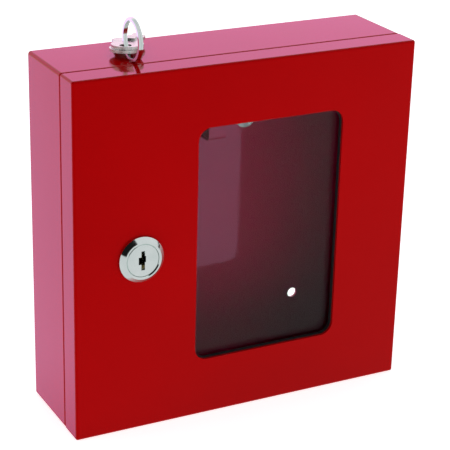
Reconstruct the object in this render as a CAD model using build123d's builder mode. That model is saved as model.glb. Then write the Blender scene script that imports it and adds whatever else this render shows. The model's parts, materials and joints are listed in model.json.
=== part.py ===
from build123d import *
import os
from math import cos, radians, sin, sqrt

# Emergency key box: a folded sheet-steel box with a glazed door, a cam lock and its two keys on a ring.
# The frame has X to the right, Y towards the wall and Z up. Its origin is the centre of the four wall
# holes, on the back face. Depths are distances forward of that face, so a sketch lies on
# Plane.XZ.offset(depth) and a positive extrusion runs towards the front.
os.makedirs("parts", exist_ok=True)

# Box
width = 150.0
height = 150.0
depth = 45.0
body_depth = 33.0
sheet = 1.2
bend_r = 1.3
door_corner_r = 0.9
flange_width = 12.0
door_gap = 0.5
edge_r = 1.0

# Back panel
wall_hole_r = 2.25
wall_hole_span_x = 95.0
wall_hole_span_z = 100.0
back_lip = 8.0

# Key hook
hook_width = 8.0
hook_bottom = 34.0
hook_top = 50.0
hook_reach = 15.0
hook_tip = 6.0
hook_bend_r = 1.8
rivet_r = 1.6
rivet_z = 45.0
rivet_taper = 35.0

# Hinge
pin_r = 1.25
pin_chamfer = 0.3
knuckle_r = 2.0
knuckle_clearance = 0.05
knuckle_count = 13
knuckle_gap = 0.2
hinge_length = 145.0
leaf = 0.8
leaf_width = 9.0
axis_inset = 2.1
axis_lead = 2.3
swing_play = 0.15

# Window and glass
window_x = 10.0
window_width = 65.0
window_height = 100.0
window_r = 5.5
gasket = 1.5
gasket_inset = 0.4
gasket_corner_r = 3.0
glass = 2.0
glass_overlap = 6.0
glass_play = 0.2
glass_corner_r = 1.0
glass_chamfer = 0.2
channel_sheet = 0.8
channel_play = 0.3
channel_lip = 4.2
channel_foot = 6.5
channel_run = 2.0

# Glass clip
stud_r = 2.0
stud_z = 60.0
stud_base_r = 3.5
stud_tail = 1.0
stud_chamfer = 0.4
clip_width = 9.0
clip_drop = 9.0
clip_nut_flats = 7.0
clip_nut_height = 3.2

# Lock
lock_x = -47.0
bezel_r = 9.5
bezel_height = 2.6
bezel_rim = 1.0
bezel_step = 0.5
bezel_land = 1.0
bezel_bevel = 0.3
barrel_r = 8.0
barrel_flats = 13.8
barrel_chamfer = 0.4
lock_hole_play = 0.1
thread_pitch = 1.0
thread_cut = 0.35
thread_start = 1.0
thread_half = 0.45
lock_nut_flats = 19.0
lock_nut_height = 2.6
lock_washer_r = 10.4
lock_washer = 0.6
plug_r = 5.45
plug_head_r = 6.85
plug_clearance = 0.05
plug_chamfer = 0.25
seat_lift = 0.2
plug_recess = 0.3
plug_square = 5.5
square_setback = 0.2
screw_hole = 4.0
keyway_height = 8.0
keyway_width = 1.5
keyway_depth = 11.9
keyway_play = 0.25
groove_depth = 0.45
groove_height = 2.6
groove_rise = 0.6
wafer_count = 5
wafer_pitch = 1.9
first_wafer = 1.3
wafer = 0.8
wafer_width = 5.0
wafer_height = 9.4
wafer_side = 0.6
wafer_end = 1.4
wafer_play = 0.1
lug = 0.8
lug_length = 1.3
spring_x = 3.3
spring_wire_r = 0.1
spring_r = 0.42
spring_pitch = 0.5
spring_height = 2.4
spring_low = -3.3
stop_washer = 0.8
stop_washer_r = 6.0
stop_play = 0.1
stop_gap = 0.3
tab_half_angle = 18.0
stop_play_angle = 1.0
cam = 1.5
cam_gap = 0.3
cam_width = 11.0
cam_length = 21.5
cam_hub_r = 6.5
screw_r = 2.0
screw_head_r = 4.0
screw_head = 2.2
screw_head_round = 1.4
screw_thread = 3.5
recess_span = 4.2
recess_slot = 0.9
recess_depth = 1.3
cam_washer_r = 4.6
cam_washer = 0.6

# Keys and ring
bow_r = 6.4
key_hole_r = 2.4
key_hole_offset = 3.2
key_sheet = 1.2
key_length = 22.0
key_taper = 2.0
blade_width = 7.0
first_cut = 2.4
cut_size = 1.1
rib = 0.9
rib_width = 2.8
ring_r = 7.9
ring_coil = 0.85
coil_gap = 0.05
ring_band = 1.2
ring_x = -43.6
ring_y = -29.0
ring_clearance = 0.3
hole_lift = 3.0
tip_play = 0.1
lower_heading = 17.0
key_spread = -20.0

# Depths and places that follow from the dimensions above
door_rear = body_depth + door_gap
door_inside = depth - sheet
axis_x = width / 2 - axis_inset
axis_depth = body_depth + axis_lead
gasket_rear = door_inside - gasket
glass_rear = gasket_rear - glass
channel_rear = glass_rear - glass_play - channel_sheet
cam_front = body_depth - sheet - cam_gap
cam_rear = cam_front - cam
lock_rear = cam_front + stop_washer
bezel_front = depth + bezel_height
plug_front = bezel_front - plug_recess
plug_seat = depth + seat_lift


def finish(builder, name):
    """Label a finished piece and write it to its STEP file."""
    builder.part.label = name
    export_step(builder.part, f"parts/{name}.step")


# ---------------------------------------------------------------- cabinet

with BuildPart() as body_band:
    # Four side walls folded from one strip, with a flange turned inward round the front
    with BuildSketch(Plane.XZ):
        RectangleRounded(width, height, bend_r)
        RectangleRounded(width - 2 * sheet, height - 2 * sheet, bend_r - sheet, mode=Mode.SUBTRACT)
    extrude(amount=body_depth)
    with BuildSketch(Plane.XZ.offset(body_depth - sheet)):
        RectangleRounded(width, height, bend_r)
        RectangleRounded(width - 2 * flange_width, height - 2 * flange_width, sheet, mode=Mode.SUBTRACT)
    extrude(amount=sheet)
    fillet(body_band.faces().sort_by(Axis.Y)[0].outer_wire().edges(), edge_r)
finish(body_band, "body_band")

back_width = width - 2 * sheet
back_height = height - 2 * sheet
with BuildPart() as back_panel:
    # Shallow pan let into the rear of the band, its lip spot-welded to the side walls
    with BuildSketch(Plane.XZ):
        RectangleRounded(back_width, back_height, bend_r - sheet)
    extrude(amount=back_lip)
    with BuildSketch(Plane.XZ.offset(sheet)):
        Rectangle(back_width - 2 * sheet, back_height - 2 * sheet)
    extrude(amount=back_lip - sheet, mode=Mode.SUBTRACT)
    fillet(back_panel.faces().sort_by(Axis.Y)[-1].outer_wire().edges(), edge_r / 2)
    with BuildSketch(Plane.XZ):
        with GridLocations(wall_hole_span_x, wall_hole_span_z, 2, 2):
            Circle(wall_hole_r)
        with Locations((0, rivet_z)):
            Circle(rivet_r)
    extrude(amount=sheet, mode=Mode.SUBTRACT)
finish(back_panel, "back_panel")

with BuildPart() as key_hook:
    # Strip with a riveted back, an arm and an upturned tip
    with BuildSketch(Plane.YZ):
        with BuildLine():
            strip = FilletPolyline(
                (-sheet * 1.5, hook_top),
                (-sheet * 1.5, hook_bottom),
                (-sheet - hook_reach, hook_bottom),
                (-sheet - hook_reach, hook_bottom + hook_tip),
                radius=hook_bend_r,
            )
        trace(strip, line_width=sheet)
    extrude(amount=hook_width / 2, both=True)
    with BuildSketch(Plane.XZ):
        with Locations((0, rivet_z)):
            Circle(rivet_r)
    extrude(amount=3 * sheet, mode=Mode.SUBTRACT)
finish(key_hook, "key_hook")

with BuildPart() as hook_rivet:
    # Shank through the back panel and the hook, with a domed head on the hook's side
    with BuildSketch(Plane.XZ):
        with Locations((0, rivet_z)):
            Circle(rivet_r)
    extrude(amount=2 * sheet)
    with BuildSketch(Plane.XZ.offset(2 * sheet)):
        with Locations((0, rivet_z)):
            Circle(2 * rivet_r)
    extrude(amount=rivet_r, taper=rivet_taper)
finish(hook_rivet, "hook_rivet")

# ---------------------------------------------------------------- hinge

knuckle_pitch = hinge_length / knuckle_count


def knuckle_spans(first):
    """Low and high Z of every second knuckle, starting at number first."""
    spans = []
    for index in range(first, knuckle_count, 2):
        low = -hinge_length / 2 + index * knuckle_pitch
        spans.append((low + knuckle_gap / 2, low + knuckle_pitch - knuckle_gap / 2))
    return spans


leaf_slot = knuckle_r + knuckle_gap
leaf_x = width / 2 - sheet
leaf_front = axis_depth + leaf_slot

with BuildPart() as hinge_leaf_body:
    # Leaf spot-welded to the front of the body's right flange, with the odd knuckles
    with BuildSketch(Plane.XY.offset(-hinge_length / 2)):
        with Locations((axis_x - leaf_slot, -body_depth)):
            Rectangle(leaf_width - leaf_slot, leaf, align=(Align.MAX, Align.MAX))
    extrude(amount=hinge_length)
    for low, high in knuckle_spans(0):
        with BuildSketch(Plane.XY.offset(low)):
            with Locations((axis_x, -axis_depth)):
                Circle(knuckle_r)
            with Locations((axis_x, -body_depth)):
                Rectangle(leaf_slot, leaf, align=(Align.MAX, Align.MAX))
            with Locations((axis_x, -axis_depth)):
                Circle(pin_r, mode=Mode.SUBTRACT)
        extrude(amount=high - low)
finish(hinge_leaf_body, "hinge_leaf_body")

with BuildPart() as hinge_leaf_door:
    # Leaf spot-welded inside the door's right return, with the even knuckles
    with BuildSketch(Plane.XY.offset(-hinge_length / 2)):
        with Locations((leaf_x, -leaf_front)):
            Rectangle(leaf, door_inside - leaf_front - leaf, align=(Align.MAX, Align.MAX))
    extrude(amount=hinge_length)
    for low, high in knuckle_spans(1):
        with BuildSketch(Plane.XY.offset(low)):
            with Locations((axis_x, -axis_depth)):
                Circle(knuckle_r)
            with Locations((leaf_x, -axis_depth)):
                Rectangle(leaf, leaf_slot, align=(Align.MAX, Align.MAX))
            with Locations((axis_x, -axis_depth)):
                Circle(pin_r + knuckle_clearance, mode=Mode.SUBTRACT)
        extrude(amount=high - low)
finish(hinge_leaf_door, "hinge_leaf_door")

with BuildPart() as hinge_pin:
    with BuildSketch(Plane.XY.offset(-hinge_length / 2)):
        with Locations((axis_x, -axis_depth)):
            Circle(pin_r)
    extrude(amount=hinge_length)
    chamfer(hinge_pin.edges().filter_by(GeomType.CIRCLE), pin_chamfer)
finish(hinge_pin, "hinge_pin")

# ---------------------------------------------------------------- door

swing_r = axis_lead - swing_play

with BuildPart() as door_panel:
    # Pan with a return on every side
    with BuildSketch(Plane.XZ.offset(door_rear)):
        RectangleRounded(width, height, door_corner_r)
    extrude(amount=depth - door_rear)
    with BuildSketch(Plane.XZ.offset(door_rear)):
        Rectangle(width - 2 * sheet, height - 2 * sheet)
    extrude(amount=door_inside - door_rear, mode=Mode.SUBTRACT)
    fillet(door_panel.faces().sort_by(Axis.Y)[0].outer_wire().edges(), edge_r)
    # Window, and the double-D hole that keeps the lock from turning
    with BuildSketch(Plane.XZ.offset(door_inside)):
        with Locations((window_x, 0)):
            RectangleRounded(window_width, window_height, window_r)
    extrude(amount=sheet, mode=Mode.SUBTRACT)
    with BuildSketch(Plane.XZ.offset(door_inside)):
        with Locations((lock_x, 0)):
            Circle(barrel_r + lock_hole_play)
            Rectangle(barrel_flats + lock_hole_play, 3 * barrel_r, mode=Mode.INTERSECT)
    extrude(amount=sheet, mode=Mode.SUBTRACT)
    # The right return stops short of the hinge, and the corners beside it are rounded about its axis
    with BuildSketch(Plane.XY):
        with Locations((axis_x, -axis_depth)):
            Rectangle(2 * axis_inset, axis_lead, align=(Align.MIN, Align.MIN))
            Circle(swing_r, mode=Mode.SUBTRACT)
    extrude(amount=height / 2, both=True, mode=Mode.SUBTRACT)
    with BuildSketch(Plane.XY):
        with Locations((width / 2, -leaf_front)):
            Rectangle(2 * sheet, leaf_front, align=(Align.MAX, Align.MIN))
    extrude(amount=height / 2 - sheet, both=True, mode=Mode.SUBTRACT)
finish(door_panel, "door_panel")

pane_width = window_width + 2 * glass_overlap
pane_height = window_height + 2 * glass_overlap

with BuildPart() as window_gasket:
    # Flat rubber frame between the door sheet and the glass
    with BuildSketch(Plane.XZ.offset(gasket_rear)):
        with Locations((window_x, 0)):
            RectangleRounded(pane_width, pane_height, gasket_corner_r)
            RectangleRounded(
                window_width - 2 * gasket_inset,
                window_height - 2 * gasket_inset,
                window_r - gasket_inset,
                mode=Mode.SUBTRACT,
            )
    extrude(amount=gasket)
finish(window_gasket, "window_gasket")

with BuildPart() as glass_pane:
    with BuildSketch(Plane.XZ.offset(glass_rear)):
        with Locations((window_x, 0)):
            RectangleRounded(pane_width, pane_height, glass_corner_r)
    extrude(amount=glass)
    chamfer(glass_pane.edges().group_by(Axis.Y)[0], glass_chamfer)
    chamfer(glass_pane.edges().group_by(Axis.Y)[-1], glass_chamfer)
finish(glass_pane, "glass_pane")


def channel(plane, length):
    """Folded Z-section that holds one edge of the glass.

    The plane's origin is at the middle of that edge at the wall's depth, its X points away from
    the glass and its Y points to the front.
    """
    with BuildPart() as strip:
        with BuildSketch(plane):
            with BuildLine():
                Polyline(
                    (-channel_lip, channel_rear),
                    (channel_play + channel_sheet, channel_rear),
                    (channel_play + channel_sheet, door_inside - channel_sheet),
                    (channel_foot, door_inside - channel_sheet),
                    (channel_foot, door_inside),
                    (channel_play, door_inside),
                    (channel_play, channel_rear + channel_sheet),
                    (-channel_lip, channel_rear + channel_sheet),
                    close=True,
                )
            make_face()
        extrude(amount=length / 2, both=True)
    return strip


side_length = window_height + channel_run
glass_left = window_x - pane_width / 2
glass_right = window_x + pane_width / 2
left_plane = Plane((glass_left, 0, 0), x_dir=(-1, 0, 0), z_dir=(0, 0, 1))
right_plane = Plane((glass_right, 0, 0), x_dir=(1, 0, 0), z_dir=(0, 0, -1))
bottom_plane = Plane((window_x, 0, -pane_height / 2), x_dir=(0, 0, -1), z_dir=(-1, 0, 0))
finish(channel(left_plane, side_length), "channel_left")
finish(channel(right_plane, side_length), "channel_right")
finish(channel(bottom_plane, window_width - channel_run), "channel_bottom")

clip_front = channel_rear + channel_sheet
clip_nut_rear = channel_rear - clip_nut_height

with BuildPart() as clip_stud:
    # Weld stud above the glass
    with BuildSketch(Plane.XZ.offset(door_inside - channel_sheet)):
        with Locations((0, stud_z)):
            Circle(stud_base_r)
    extrude(amount=channel_sheet)
    with BuildSketch(Plane.XZ.offset(clip_nut_rear - stud_tail)):
        with Locations((0, stud_z)):
            Circle(stud_r)
    extrude(amount=door_inside - channel_sheet - clip_nut_rear + stud_tail)
    chamfer(clip_stud.faces().sort_by(Axis.Y)[-1].edges(), stud_chamfer)
finish(clip_stud, "clip_stud")

with BuildPart() as clip_spacer:
    with BuildSketch(Plane.XZ.offset(clip_front)):
        with Locations((0, stud_z)):
            Circle(stud_base_r)
            Circle(stud_r, mode=Mode.SUBTRACT)
    extrude(amount=door_inside - channel_sheet - clip_front)
finish(clip_spacer, "clip_spacer")

with BuildPart() as glass_clip:
    # Round-ended tab that turns on the stud, its free end behind the top of the glass
    with BuildSketch(Plane.XZ.offset(channel_rear)):
        with Locations((0, stud_z - clip_drop / 2)):
            SlotCenterToCenter(clip_drop, clip_width, rotation=90)
        with Locations((0, stud_z)):
            Circle(stud_r + knuckle_clearance, mode=Mode.SUBTRACT)
    extrude(amount=channel_sheet)
finish(glass_clip, "glass_clip")

with BuildPart() as clip_nut:
    with BuildSketch(Plane.XZ.offset(clip_nut_rear)):
        with Locations((0, stud_z)):
            RegularPolygon(clip_nut_flats / 2, 6, major_radius=False)
            Circle(stud_r, mode=Mode.SUBTRACT)
    extrude(amount=clip_nut_height)
finish(clip_nut, "clip_nut")

# ---------------------------------------------------------------- lock

# Half-section plane through the lock's axis: X is the radius and Y the depth
lock_section = Plane((lock_x, 0, 0), x_dir=(1, 0, 0), z_dir=(0, 0, -1))
lock_axis = Axis((lock_x, 0, 0), (0, -1, 0))
thread_rear = lock_rear + thread_start
thread_turns = int((door_inside - thread_rear) / thread_pitch)
stop_angle = 90.0 + 2 * (tab_half_angle + stop_play_angle)


def lock_face(lock_depth):
    """Plane square to the lock's axis, its origin on the axis, its X to the right and its Y up."""
    return Plane((lock_x, -lock_depth, 0), x_dir=(1, 0, 0), z_dir=(0, -1, 0))


with BuildPart() as lock_housing:
    # Tapered bezel and threaded barrel, bored for the plug
    with BuildSketch(lock_section):
        with BuildLine():
            Polyline(
                (plug_r + plug_clearance, lock_rear),
                (barrel_r - barrel_chamfer, lock_rear),
                (barrel_r, lock_rear + barrel_chamfer),
                (barrel_r, depth),
                (bezel_r, depth),
                (bezel_r, depth + bezel_rim),
                (bezel_r - bezel_step, depth + bezel_rim + bezel_step),
                (plug_head_r + bezel_land, bezel_front),
                (plug_head_r + plug_clearance + bezel_bevel, bezel_front),
                (plug_head_r + plug_clearance, bezel_front - bezel_bevel),
                (plug_head_r + plug_clearance, plug_seat),
                (plug_r + plug_clearance, plug_seat),
                close=True,
            )
        make_face()
    revolve(axis=lock_axis)
    # Thread grooves
    for turn in range(thread_turns):
        groove = thread_rear + (turn + 0.5) * thread_pitch
        with BuildSketch(lock_section):
            with BuildLine():
                Polyline(
                    (bezel_r, groove - thread_half * thread_pitch),
                    (barrel_r, groove - thread_half * thread_pitch),
                    (barrel_r - thread_cut, groove),
                    (barrel_r, groove + thread_half * thread_pitch),
                    (bezel_r, groove + thread_half * thread_pitch),
                    close=True,
                )
            make_face()
        revolve(axis=lock_axis, mode=Mode.SUBTRACT)
    # Two flats along the barrel
    with BuildSketch(lock_face(lock_rear)):
        Rectangle(4 * barrel_r, 2 * bezel_r)
        Rectangle(barrel_flats, 2 * bezel_r, mode=Mode.SUBTRACT)
    extrude(amount=depth - lock_rear, mode=Mode.SUBTRACT)
    # Stop on the rear face: an arc that leaves the stop washer's tab a quarter turn
    with BuildSketch(lock_face(cam_front + stop_play)):
        Circle(barrel_r - barrel_chamfer)
        Circle(stop_washer_r + stop_gap, mode=Mode.SUBTRACT)
        Rectangle(barrel_flats, 2 * barrel_r, mode=Mode.INTERSECT)
        with BuildLine():
            gate = CenterArc((0, 0), 2 * barrel_r, -180 - tab_half_angle - stop_play_angle, stop_angle)
            Line((0, 0), gate @ 0)
            Line(gate @ 1, (0, 0))
        make_face(mode=Mode.SUBTRACT)
    extrude(amount=stop_washer - stop_play)
finish(lock_housing, "lock_housing")

with BuildPart() as lock_washer_ring:
    with BuildSketch(lock_face(door_inside - lock_washer)):
        Circle(lock_washer_r)
        Circle(barrel_r, mode=Mode.SUBTRACT)
    extrude(amount=lock_washer)
finish(lock_washer_ring, "lock_washer")

nut_front = door_inside - lock_washer
with BuildPart() as lock_nut:
    with BuildSketch(lock_face(nut_front - lock_nut_height)):
        RegularPolygon(lock_nut_flats / 2, 6, major_radius=False)
        Circle(barrel_r, mode=Mode.SUBTRACT)
    extrude(amount=lock_nut_height)
finish(lock_nut, "lock_nut")

wafer_depths = [plug_seat - first_wafer - index * wafer_pitch for index in range(wafer_count)]
wafer_slot = wafer + wafer_play
spring_room = 2 * (spring_r + spring_wire_r) + wafer_play

with BuildPart() as lock_plug:
    # Head, body and square rear end
    with BuildSketch(lock_face(plug_seat)):
        Circle(plug_head_r)
    extrude(amount=plug_front - plug_seat)
    chamfer(lock_plug.faces().sort_by(Axis.Y)[0].edges(), plug_chamfer)
    with BuildSketch(lock_face(lock_rear)):
        Circle(plug_r)
    extrude(amount=plug_seat - lock_rear)
    with BuildSketch(lock_face(cam_rear + square_setback)):
        Rectangle(plug_square, plug_square)
    extrude(amount=lock_rear - cam_rear - square_setback)
    with BuildSketch(lock_face(cam_rear)):
        Circle(screw_r)
    extrude(amount=screw_hole, mode=Mode.SUBTRACT)
    # Keyway: a narrow slot with a wide groove on its left and a shallow one on its right
    with BuildSketch(lock_face(plug_front - keyway_depth)):
        Rectangle(keyway_width, keyway_height)
        with Locations((-keyway_width / 2, 0)):
            Rectangle(rib + keyway_play, rib_width + keyway_play, align=(Align.MAX, Align.CENTER))
        with Locations((keyway_width / 2, groove_rise)):
            Rectangle(groove_depth, groove_height, align=(Align.MIN, Align.CENTER))
    extrude(amount=keyway_depth, mode=Mode.SUBTRACT)
    # Slots for the wafers, each with a pocket for its spring
    for wafer_depth in wafer_depths:
        with BuildSketch(lock_face(wafer_depth - wafer_slot / 2)):
            Rectangle(wafer_width + wafer_play, 2 * plug_r)
        extrude(amount=wafer_slot, mode=Mode.SUBTRACT)
        with BuildSketch(lock_face(wafer_depth - spring_room / 2)):
            with Locations((wafer_width / 2, spring_low)):
                Rectangle(lug_length + wafer_play, lug - spring_low, align=(Align.MIN, Align.MIN))
        extrude(amount=spring_room, mode=Mode.SUBTRACT)
finish(lock_plug, "lock_plug")

with BuildPart() as wafers:
    # Plates with a window for the key and a lug for the spring
    for wafer_depth in wafer_depths:
        with BuildSketch(lock_face(wafer_depth - wafer / 2)):
            Rectangle(wafer_width, wafer_height)
            with Locations((wafer_width / 2, 0)):
                Rectangle(lug_length, lug, align=(Align.MIN, Align.CENTER))
            Rectangle(wafer_width - 2 * wafer_side, wafer_height - 2 * wafer_end, mode=Mode.SUBTRACT)
        extrude(amount=wafer)
finish(wafers, "wafers")

with BuildPart() as wafer_springs:
    for wafer_depth in wafer_depths:
        spring_centre = Vector(lock_x + spring_x, -wafer_depth, spring_low + 2 * spring_wire_r)
        with BuildLine(Plane(spring_centre)):
            coil = Helix(pitch=spring_pitch, height=spring_height, radius=spring_r)
        with BuildSketch(Plane(coil @ 0, z_dir=coil % 0)):
            Circle(spring_wire_r)
        sweep(path=coil, is_frenet=True)
finish(wafer_springs, "wafer_springs")

with BuildPart() as stop_washer_disc:
    # Square-holed disc whose tab meets the housing's stop at each end of the turn
    with BuildSketch(lock_face(cam_front)):
        with BuildLine():
            tab = CenterArc((0, 0), barrel_r - barrel_chamfer, -90 - tab_half_angle, 2 * tab_half_angle)
            Line((0, 0), tab @ 0)
            Line(tab @ 1, (0, 0))
        make_face()
        Circle(stop_washer_r)
        Rectangle(plug_square, plug_square, mode=Mode.SUBTRACT)
    extrude(amount=stop_washer)
finish(stop_washer_disc, "stop_washer")

with BuildPart() as lock_cam:
    # Arm on a round hub, keyed on the plug's square
    with BuildSketch(lock_face(cam_rear)):
        Circle(cam_hub_r)
        with Locations((0, -(cam_length - cam_width / 2) / 2)):
            SlotCenterToCenter(cam_length - cam_width / 2, cam_width, rotation=90)
        Rectangle(plug_square, plug_square, mode=Mode.SUBTRACT)
    extrude(amount=cam)
finish(lock_cam, "cam")

with BuildPart() as cam_washer_ring:
    with BuildSketch(lock_face(cam_rear - cam_washer)):
        Circle(cam_washer_r)
        Circle(screw_r, mode=Mode.SUBTRACT)
    extrude(amount=cam_washer)
finish(cam_washer_ring, "cam_washer")

screw_seat = cam_rear - cam_washer
with BuildPart() as cam_screw:
    # Round-headed screw with a crossed recess, facing the wall
    with BuildSketch(lock_face(screw_seat - screw_head)):
        Circle(screw_head_r)
    extrude(amount=screw_head)
    fillet(cam_screw.faces().sort_by(Axis.Y)[-1].edges(), screw_head_round)
    with BuildSketch(lock_face(screw_seat)):
        Circle(screw_r)
    extrude(amount=cam_washer + screw_thread)
    with BuildSketch(lock_face(screw_seat - screw_head)):
        Rectangle(recess_span, recess_slot)
        Rectangle(recess_slot, recess_span)
    extrude(amount=recess_depth, mode=Mode.SUBTRACT)
finish(cam_screw, "cam_screw")

# ---------------------------------------------------------------- keys and ring

ring_z = height / 2 + ring_r + ring_band / 2 + ring_clearance


def ring_crossing(centre_height):
    """Point on the ring's rear half at a height above the box's middle."""
    return Vector(ring_x, ring_y + sqrt(ring_r**2 - (ring_z - centre_height) ** 2), centre_height)


# The lower key lies with its bow on the ring and its tip on the box
lower_height = height / 2 + hole_lift
tip_height = height / 2 + key_sheet / 2 + rib + tip_play
droop = (lower_height - tip_height) / (key_length - key_taper)
turn = radians(lower_heading)
lower_x = Vector(sin(turn), cos(turn), -droop).normalized()
across = Vector(cos(turn), -sin(turn), 0)
lower_plane = Plane(ring_crossing(lower_height), x_dir=lower_x, z_dir=across.cross(lower_x))

# The upper key is turned about the ring and lies flat on the lower one, face to face
upper_x = lower_plane.x_dir.rotate(Axis((0, 0, 0), lower_plane.z_dir), key_spread)
upper_plane = Plane(ring_crossing(lower_height + key_sheet), x_dir=upper_x, z_dir=lower_plane.z_dir)


def key(plane, rib_side):
    """Key with a round bow and a short blade; its origin is the bow's hole and its X the blade's way."""
    bow_end = key_hole_offset + bow_r
    blade_end = key_length - key_taper
    with BuildPart() as piece:
        with BuildSketch(plane.offset(-key_sheet / 2)):
            with Locations((key_hole_offset, 0)):
                Circle(bow_r)
                Rectangle(blade_end - key_hole_offset, blade_width, align=(Align.MIN, Align.CENTER))
            with Locations((blade_end, 0)):
                Trapezoid(blade_width, key_taper, 45, rotation=-90, align=(Align.CENTER, Align.MIN))
            Circle(key_hole_r, mode=Mode.SUBTRACT)
            # V-cuts for the wafers, on alternate edges
            for index in range(wafer_count):
                edge = blade_width / 2 if index % 2 else -blade_width / 2
                with Locations((bow_end + first_cut + index * wafer_pitch, edge)):
                    Rectangle(cut_size, cut_size, rotation=45, mode=Mode.SUBTRACT)
        extrude(amount=key_sheet)
        with BuildSketch(plane.offset(rib_side * key_sheet / 2)):
            with Locations((bow_end, 0)):
                Rectangle(blade_end - bow_end, rib_width, align=(Align.MIN, Align.CENTER))
        extrude(amount=rib_side * rib)
    return piece


finish(key(lower_plane, -1), "key_lower")
finish(key(upper_plane, 1), "key_upper")

with BuildPart() as key_ring:
    # Split ring: two turns of flat wire side by side, upright
    coil_start = (ring_x - ring_coil, ring_y, ring_z)
    with BuildLine():
        turns = Helix(
            pitch=ring_coil + coil_gap,
            height=2 * ring_coil,
            radius=ring_r,
            center=coil_start,
            direction=(1, 0, 0),
        )
    with BuildSketch(Plane(turns @ 0, x_dir=(1, 0, 0), z_dir=turns % 0)):
        Rectangle(ring_coil, ring_band)
    sweep(path=turns, is_frenet=True)
finish(key_ring, "key_ring")
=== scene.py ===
import json
from math import radians

import bpy
from mathutils import Matrix, Vector

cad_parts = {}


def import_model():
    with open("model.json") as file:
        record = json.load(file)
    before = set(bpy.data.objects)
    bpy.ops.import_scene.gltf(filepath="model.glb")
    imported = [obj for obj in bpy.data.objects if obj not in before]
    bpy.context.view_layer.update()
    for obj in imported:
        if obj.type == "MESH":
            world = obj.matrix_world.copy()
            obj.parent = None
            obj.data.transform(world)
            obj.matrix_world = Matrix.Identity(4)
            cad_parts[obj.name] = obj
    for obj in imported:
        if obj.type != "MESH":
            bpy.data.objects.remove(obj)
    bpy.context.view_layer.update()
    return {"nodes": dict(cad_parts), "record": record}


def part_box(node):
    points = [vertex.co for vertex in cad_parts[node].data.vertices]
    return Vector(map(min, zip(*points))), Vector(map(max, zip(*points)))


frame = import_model()
nodes = frame["nodes"]
scene = bpy.context.scene

# Places that the materials and the camera are set out from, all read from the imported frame
band_low, band_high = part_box("body_band")
door_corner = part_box("door_panel")[0]
lock_low, lock_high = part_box("lock_housing")
lock_centre = (lock_low + lock_high) / 2
box_height = band_high.z - band_low.z
floor_z = band_low.z

# The paint's base colours; the second is painted shade and painted reflection, a bluer, darker red for the
# inside seen through the glass
red = Vector((0.39, 0.0008, 0.0012))
painted_shade_crimson = Vector((0.34, 0.001, 0.04))

# A Mix node's colour sockets, by index, because its number and colour sockets share their names
mix_first, mix_second, mix_result = 6, 7, 2


# ---------------------------------------------------------------- node helpers

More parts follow.
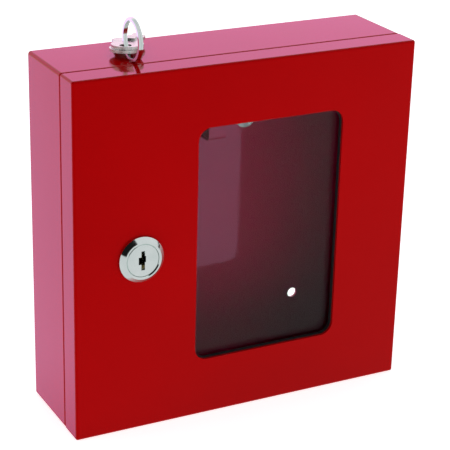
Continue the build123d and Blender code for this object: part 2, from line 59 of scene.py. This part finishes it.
class Shader:
    """A material's node tree, with one Principled shader whose constants are set on its own sockets."""

    def __init__(self, name, **sockets):
        self.material = bpy.data.materials.new(name)
        self.material.use_nodes = True
        self.tree = self.material.node_tree
        self.bsdf = self.tree.nodes["Principled BSDF"]
        for socket, value in sockets.items():
            self.bsdf.inputs[socket.replace("_", " ")].default_value = value
        self.coords = self.tree.nodes.new("ShaderNodeTexCoord").outputs["Object"]

    def node(self, kind, **settings):
        """A new node of this kind, with these settings."""
        made = self.tree.nodes.new(kind)
        for name, value in settings.items():
            setattr(made, name, value)
        return made

    def link(self, source, target):
        self.tree.links.new(source, target)

    def set(self, socket, output):
        """Feed one of the shader's sockets from another node's output."""
        self.link(output, self.bsdf.inputs[socket])

    def stretched(self, scale):
        """Object coordinates multiplied by a different number along each axis."""
        mapping = self.node("ShaderNodeMapping")
        mapping.inputs["Scale"].default_value = scale
        self.link(self.coords, mapping.inputs["Vector"])
        return mapping.outputs["Vector"]

    def noise(self, scale, detail=3.0, roughness=0.5, vector=None):
        """Noise about 0.5, over the object coordinates unless a vector is given."""
        made = self.node("ShaderNodeTexNoise")
        made.inputs["Scale"].default_value = scale
        made.inputs["Detail"].default_value = detail
        made.inputs["Roughness"].default_value = roughness
        self.link(vector or self.coords, made.inputs["Vector"])
        return made.outputs["Fac"]

    def cell_tones(self, scale):
        """A random grey for each cell of a Voronoi pattern."""
        cells = self.node("ShaderNodeTexVoronoi")
        cells.inputs["Scale"].default_value = scale
        self.link(self.coords, cells.inputs["Vector"])
        tone = self.node("ShaderNodeRGBToBW")
        self.link(cells.outputs["Color"], tone.inputs["Color"])
        return tone.outputs["Val"]

    def spread(self, value, low, high, start, end):
        """Map a value that runs from start to end onto low to high."""
        made = self.node("ShaderNodeMapRange")
        made.inputs["From Min"].default_value = start
        made.inputs["From Max"].default_value = end
        made.inputs["To Min"].default_value = low
        made.inputs["To Max"].default_value = high
        self.link(value, made.inputs["Value"])
        return made.outputs["Result"]

    def ramp(self, value, *stops):
        """Colour ramp through (position, colour) stops."""
        made = self.node("ShaderNodeValToRGB")
        for element, (position, colour) in zip(made.color_ramp.elements, stops):
            element.position = position
            element.color = (*colour, 1.0)
        self.link(value, made.inputs["Fac"])
        return made.outputs["Color"]

    def mix(self, factor, first, second):
        """The first colour where the factor is 0 and the second where it is 1."""
        mixed = self.node("ShaderNodeMix", data_type="RGBA")
        self.link(factor, mixed.inputs["Factor"])
        self.link(first, mixed.inputs[mix_first])
        self.link(second, mixed.inputs[mix_second])
        return mixed.outputs[mix_result]

    def bump(self, height, distance, strength, under=None):
        """Bump in metres, laid over an earlier bump if there is one."""
        made = self.node("ShaderNodeBump")
        made.inputs["Distance"].default_value = distance
        made.inputs["Strength"].default_value = strength
        self.link(height, made.inputs["Height"])
        if under is not None:
            self.link(under, made.inputs["Normal"])
        return made.outputs["Normal"]

    def rings(self, centre, pitch):
        """Fine turned rings about an axis along Y through centre, from 0 to 1."""
        shift = self.node("ShaderNodeVectorMath", operation="SUBTRACT")
        self.link(self.coords, shift.inputs[0])
        shift.inputs[1].default_value = centre
        flat = self.node("ShaderNodeVectorMath", operation="MULTIPLY")
        self.link(shift.outputs["Vector"], flat.inputs[0])
        flat.inputs[1].default_value = (1.0, 0.0, 1.0)
        radius = self.node("ShaderNodeVectorMath", operation="LENGTH")
        self.link(flat.outputs["Vector"], radius.inputs[0])
        phase = self.node("ShaderNodeMath", operation="MULTIPLY")
        self.link(radius.outputs["Value"], phase.inputs[0])
        phase.inputs[1].default_value = 1.0 / pitch
        wave = self.node("ShaderNodeMath", operation="PINGPONG")
        self.link(phase.outputs["Value"], wave.inputs[0])
        wave.inputs[1].default_value = 1.0
        return wave.outputs["Value"]


# ---------------------------------------------------------------- materials

def powder_coat(name, specular_tint, wave_height):
    """Gloss powder coat on folded sheet: fine orange peel over the sheet's slow waves."""
    paint = Shader(name, IOR=1.5, Specular_Tint=(*specular_tint, 1.0))
    gloss = paint.noise(60.0, detail=5.0)
    paint.set("Roughness", paint.spread(gloss, low=0.05, high=0.12, start=0.3, end=0.7))
    waves = paint.bump(paint.noise(14.0, detail=1.0), distance=wave_height, strength=0.3)
    peel = paint.bump(paint.noise(900.0, detail=2.0), distance=0.00002, strength=0.2, under=waves)
    paint.set("Normal", peel)
    return paint


def patchy(paint, colour):
    """A colour that is a little darker and lighter in slow patches."""
    depth = 0.08
    patches = paint.noise(9.0, detail=4.0)
    return paint.ramp(patches, (0.3, colour * (1 - depth)), (0.7, colour * (1 + depth)))


def outer_coat():
    """The box's red, with reflections that stay red unless they graze."""
    paint = powder_coat("red_powder_coat", specular_tint=(1.0, 0.0, 0.01), wave_height=0.0005)
    paint.set("Base Color", patchy(paint, red))
    return paint.material


def inside_painted_shade_coat():
    """The box's inside: a bluer, darker copy of the red paint with pink-tinted reflections, painted shade
    and painted reflection for the back wall seen through the glass; it turns plain red within the back
    panel's thickness.
    """
    paint = powder_coat("red_powder_coat_inside_painted_shade", specular_tint=(1.0, 0.5, 0.9), wave_height=0.0002)
    place = paint.node("ShaderNodeSeparateXYZ")
    paint.link(paint.coords, place.inputs["Vector"])
    behind = paint.spread(place.outputs["Y"], low=0.0, high=1.0, start=-0.0008, end=-0.0004)
    paint.set("Base Color", paint.mix(behind, patchy(paint, painted_shade_crimson), patchy(paint, red)))
    return paint.material


def chrome():
    """Polished chrome with faint turning marks about the lock's axis."""
    plate = Shader("lock_chrome", Metallic=1.0)
    tint = plate.noise(120.0, detail=4.0)
    plate.set("Base Color", plate.ramp(tint, (0.3, (0.70, 0.78, 0.75)), (0.7, (0.80, 0.86, 0.83))))
    gloss = plate.noise(400.0, detail=4.0)
    plate.set("Roughness", plate.spread(gloss, low=0.05, high=0.14, start=0.3, end=0.7))
    turning = plate.rings(lock_centre, pitch=0.00018)
    plate.set("Normal", plate.bump(turning, distance=0.000006, strength=0.3))
    return plate.material


def brushed(name, dark, light, roughness, scale):
    """Metal whose tone and gloss vary in streaks, which run along the axes that have the smaller scale."""
    metal = Shader(name, Metallic=1.0)
    grain = metal.noise(1.0, detail=6.0, roughness=0.7, vector=metal.stretched(scale))
    smooth, rough = roughness
    metal.set("Base Color", metal.ramp(grain, (0.25, dark), (0.75, light)))
    metal.set("Roughness", metal.spread(grain, low=smooth, high=rough, start=0.25, end=0.75))
    metal.set("Normal", metal.bump(grain, distance=0.00002, strength=0.3))
    return metal.material


def nickel():
    """Nickel plating, clouded on the keys' faces and finely streaked round their edges."""
    return brushed(
        "nickel_key",
        dark=(0.52, 0.52, 0.50),
        light=(0.86, 0.86, 0.84),
        roughness=(0.16, 0.34),
        scale=(300.0, 300.0, 3000.0),
    )


def spring_wire():
    """Drawn steel wire."""
    return brushed(
        "spring_wire",
        dark=(0.40, 0.40, 0.41),
        light=(0.66, 0.66, 0.67),
        roughness=(0.25, 0.4),
        scale=(2000.0, 2000.0, 200.0),
    )


def zinc():
    """Zinc plating in a dark grey, far darker than bright zinc: spangled tone, cloudy gloss."""
    plate = Shader("zinc_plate", Metallic=1.0)
    spangle = plate.cell_tones(420.0)
    plate.set("Base Color", plate.ramp(spangle, (0.1, (0.11, 0.11, 0.12)), (0.9, (0.25, 0.25, 0.25))))
    clouds = plate.noise(180.0, detail=5.0)
    plate.set("Roughness", plate.spread(clouds, low=0.22, high=0.45, start=0.3, end=0.7))
    plate.set("Normal", plate.bump(plate.noise(1500.0), distance=0.00002, strength=0.4))
    return plate.material


def brass():
    """Stamped brass with dull, darker spots; its whole tone is darkened as painted shade for the shade
    inside the keyway.
    """
    metal = Shader("stamped_brass", Metallic=1.0)
    spot_noise = metal.noise(500.0, detail=5.0)
    # Both ends of this ramp are darkened brass: painted shade for the keyway the wafers sit in
    metal.set("Base Color", metal.ramp(spot_noise, (0.3, (0.22, 0.14, 0.05)), (0.7, (0.45, 0.32, 0.14))))
    metal.set("Roughness", metal.spread(spot_noise, low=0.2, high=0.45, start=0.3, end=0.7))
    return metal.material


def rubber():
    """Black rubber with a fine matt grain."""
    black = Shader("black_rubber", Specular_IOR_Level=0.3)
    grain = black.noise(900.0, detail=4.0)
    black.set("Base Color", black.ramp(grain, (0.3, (0.006, 0.006, 0.007)), (0.7, (0.014, 0.014, 0.015))))
    black.set("Roughness", black.spread(grain, low=0.5, high=0.75, start=0.3, end=0.7))
    black.set("Normal", black.bump(grain, distance=0.00008, strength=0.5))
    return black.material


def clear_glass():
    """Thin float glass with the faintest wipe marks."""
    pane = Shader("clear_glass", Transmission_Weight=1.0, IOR=1.2, Base_Color=(0.93, 0.98, 0.96, 1.0))
    wipe = pane.noise(1.0, detail=4.0, vector=pane.stretched((35.0, 35.0, 6.0)))
    pane.set("Roughness", pane.spread(wipe, low=0.0, high=0.035, start=0.45, end=0.75))
    return pane.material


finishes = {
    "red_paint": outer_coat(),
    "chrome_plate": chrome(),
    "zinc_steel": zinc(),
    "nickel_key": nickel(),
    "brass_wafer": brass(),
    "spring_wire": spring_wire(),
    "black_rubber": rubber(),
    "clear_glass": clear_glass(),
}

for part in frame["record"]["subparts"]:
    node = nodes[part["node"]]
    node.data.materials.clear()
    node.data.materials.append(finishes[part["material_slot"]])
# The back panel, hook and rivet take the bluer, darker copy of the red paint: painted shade and painted
# reflection for the inside seen through the glass
inside = inside_painted_shade_coat()
for name in ("back_panel", "key_hook", "hook_rivet"):
    nodes[name].data.materials[0] = inside


# ---------------------------------------------------------------- floor, light and camera

def floor():
    """Pale matt floor, which reaches far beyond the box on every side."""
    mesh = bpy.data.meshes.new("floor")
    reach = 4.0
    corners = [(x * reach, y * reach, floor_z) for x, y in ((-1, -1), (1, -1), (1, 1), (-1, 1))]
    mesh.from_pydata(corners, [], [(0, 1, 2, 3)])
    plane = bpy.data.objects.new("floor", mesh)
    scene.collection.objects.link(plane)
    pale = Shader("pale_floor", Roughness=0.9, Specular_IOR_Level=0.1, Emission_Strength=0.7)
    pale.bsdf.inputs["Emission Color"].default_value = (1.0, 1.0, 1.0, 1.0)
    pale.set("Base Color", pale.ramp(pale.noise(3.0), (0.3, (0.92, 0.92, 0.92)), (0.7, (0.94, 0.94, 0.94))))
    mesh.materials.append(pale.material)
    plane.visible_glossy = False


def world():
    """Soft surround: a bright wall in rosy and white bands behind the box, a dimmer room, one dark flag."""
    surround = bpy.data.worlds.new("surround")
    surround.use_nodes = True
    scene.world = surround
    tree = surround.node_tree
    background = tree.nodes["Background"]
    coords = tree.nodes.new("ShaderNodeTexCoord")

    def facing(direction, start, end):
        """0 to 1 as the view direction turns towards a direction, between two cosines."""
        towards = tree.nodes.new("ShaderNodeVectorMath")
        towards.operation = "DOT_PRODUCT"
        towards.inputs[1].default_value = Vector(direction).normalized()
        tree.links.new(coords.outputs["Generated"], towards.inputs[0])
        mapped = tree.nodes.new("ShaderNodeMapRange")
        mapped.interpolation_type = "SMOOTHSTEP"
        mapped.inputs["From Min"].default_value = start
        mapped.inputs["From Max"].default_value = end
        tree.links.new(towards.outputs["Value"], mapped.inputs["Value"])
        return mapped.outputs["Result"]

    def blend(factor, first, second):
        """Mix two colours, each of them given as a tuple or as a node's output."""
        mixed = tree.nodes.new("ShaderNodeMix")
        mixed.data_type = "RGBA"
        mixed.clamp_factor = True
        tree.links.new(factor, mixed.inputs["Factor"])
        for socket, value in ((mixed.inputs[mix_first], first), (mixed.inputs[mix_second], second)):
            if isinstance(value, tuple):
                socket.default_value = (*value, 1.0)
            else:
                tree.links.new(value, socket)
        return mixed.outputs[mix_result]

    up, back, flag = (0, 0, 1), (0, 1, 0), (-0.56, -0.55, 0.59)
    white, dim, dark = (1.0, 1.0, 1.0), (0.75, 0.75, 0.77), (0.01, 0.01, 0.01)
    violet, rose = (1.35, 0.93, 1.6), (1.8, 0.78, 1.42)
    wall = (0.8, 0.3, 0.6)
    # The wall's bands from the bottom up, each with the heights between which it fades in
    bands = ((-0.54, -0.44, violet), (-0.25, -0.15, white), (0.17, 0.25, rose), (0.36, 0.46, white))
    for start, end, colour in bands:
        wall = blend(facing(up, start, end), wall, colour)
    room = blend(facing(back, 0.55, 0.8), dim, wall)
    flagged = blend(facing(flag, 0.80, 0.86), room, dark)
    tree.links.new(flagged, background.inputs["Color"])


def softbox(name, place, width, power):
    """Square lamp aimed at the origin; mirrors and gloss don't show it."""
    lamp = bpy.data.lights.new(name, "AREA")
    lamp.shape = "SQUARE"
    lamp.size = width
    lamp.energy = power
    box = bpy.data.objects.new(name, lamp)
    scene.collection.objects.link(box)
    box.visible_glossy = False
    box.location = place
    box.rotation_euler = (-Vector(place)).to_track_quat("-Z", "Y").to_euler()


def camera():
    """Camera at the photographed three-quarter view, a little above and to the left."""
    corner = Vector((door_corner.x, door_corner.y, floor_z))
    heights_away = Vector((-1.397, -3.475, 2.143))
    yaw, pitch, roll = radians(27.21), radians(22.71), radians(1.30)
    lens = bpy.data.cameras.new("camera")
    lens.sensor_width = 36.0
    lens.lens = 127.5
    lens.shift_x = 0.0324
    lens.shift_y = 0.0418
    lens.clip_start = 0.01
    view = bpy.data.objects.new("camera", lens)
    scene.collection.objects.link(view)
    turn = Matrix.Rotation(-yaw, 4, "Z") @ Matrix.Rotation(radians(90) - pitch, 4, "X")
    aim = turn @ Matrix.Rotation(roll, 4, "Z")
    view.matrix_world = Matrix.Translation(corner + heights_away * box_height) @ aim
    scene.camera = view


floor()
world()
softbox("key", place=(-0.9, -1.1, 1.2), width=0.9, power=1.0)
camera()
scene.view_settings.view_transform = "Standard"
